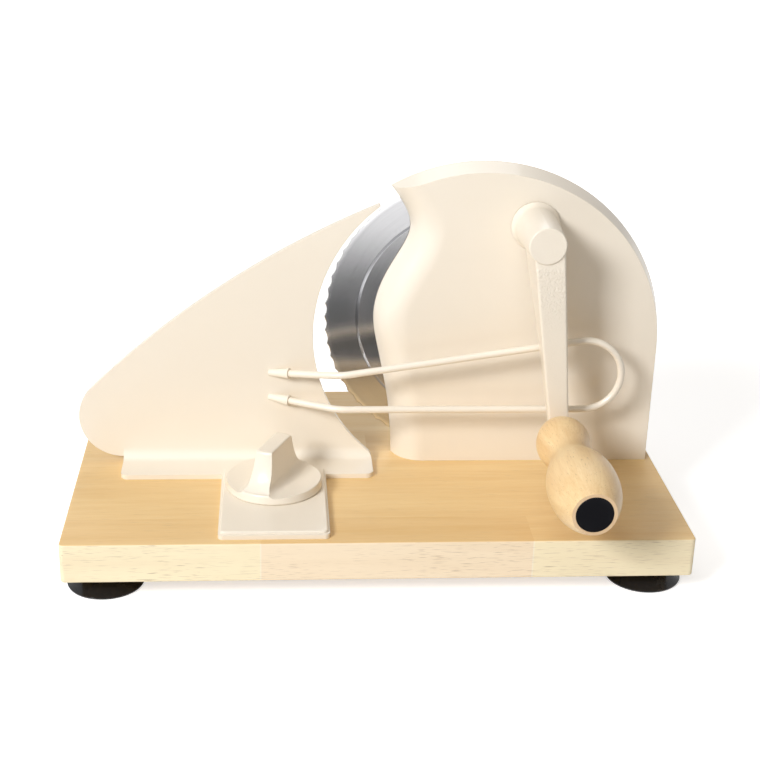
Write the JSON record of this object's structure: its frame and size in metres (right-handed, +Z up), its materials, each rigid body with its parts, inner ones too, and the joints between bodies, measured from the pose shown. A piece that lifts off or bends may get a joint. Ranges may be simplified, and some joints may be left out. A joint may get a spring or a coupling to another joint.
{
  "type": "hand-cranked bread slicer",
  "caption": "Hand-cranked bread slicer: serrated round blade geared to a crank in a cast housing, sliding guide plate with wire guard, wooden board on suction feet.",
  "frame": {"origin": "centre of the bounding box seen from above, on the table top under the suction feet", "axes": "+X along the board to the right seen from the crank side, +Y away from the person at the crank, +Z up"},
  "size_m": [0.38, 0.2828, 0.2392],
  "materials": {
    "beech_board": "oiled beech, satin",
    "turned_wood": "lacquered light wood, satin",
    "rubber": "glossy black rubber",
    "cream_enamel": "cream powder coat, slightly glossy",
    "blade_steel": "brushed stainless steel",
    "gear_steel": "machined steel, greased",
    "zinc_steel": "zinc-plated steel",
    "bronze": "sintered bronze",
    "nylon": "natural nylon",
    "black_plastic": "satin black plastic"
  },
  "bodies": {
    "base": {"base_board": "beech_board", "foot_front_left": "rubber", "foot_front_right": "rubber", "foot_rear_left": "rubber", "foot_rear_right": "rubber", "foot_screws": "zinc_steel", "housing": "cream_enamel", "housing_screws": "zinc_steel", "blade_axle": "gear_steel", "thrust_washer": "bronze", "blade_screw": "blade_steel", "crank_bush": "bronze", "shaft_washer": "bronze", "clamp_stud": "zinc_steel", "slide_key": "gear_steel", "tee_nut": "zinc_steel"},
    "crank": {"crank": "cream_enamel", "crank_shaft": "gear_steel", "pinion": "nylon", "pinion_screw": "zinc_steel", "crank_set_screw": "zinc_steel", "grip_spindle": "gear_steel", "grip_washer": "zinc_steel"},
    "grip": {"grip": "turned_wood", "grip_cap": "black_plastic"},
    "blade": {"blade": "blade_steel", "blade_gear": "gear_steel", "gear_rivets": "blade_steel", "blade_bush": "bronze"},
    "plate": {"guide_plate": "cream_enamel", "wire_guard": "cream_enamel"},
    "knob": {"clamp_knob": "cream_enamel", "clamp_washer": "zinc_steel"}
  },
  "joints": [
    {"name": "crank_spin", "type": "hinge", "parent": "base", "child": "crank", "pos_m": [0.10025, 0, 0.2016], "axis": [0, 1, 0], "continuous": true},
    {"name": "grip_spin", "type": "hinge", "parent": "crank", "child": "grip", "pos_m": [0.11441, -0.09, 0.08103], "axis": [0, 1, 0], "continuous": true},
    {"name": "blade_spin", "type": "hinge", "parent": "base", "child": "blade", "pos_m": [0.06186, 0.038, 0.13456], "axis": [0, 1, 0], "continuous": true},
    {"name": "plate_slide", "type": "slide", "parent": "base", "child": "plate", "axis": [0, 1, 0], "range_m": [-0.004, 0.0126]},
    {"name": "knob_turn", "type": "hinge", "parent": "base", "child": "knob", "pos_m": [-0.064, -0.02435, 0.044], "axis": [0, 0, 1], "range_deg": [0, 360]}
  ],
  "couplings": [
    {"joint": "blade_spin", "follows": "crank_spin", "ratio": -0.49275}
  ]
}
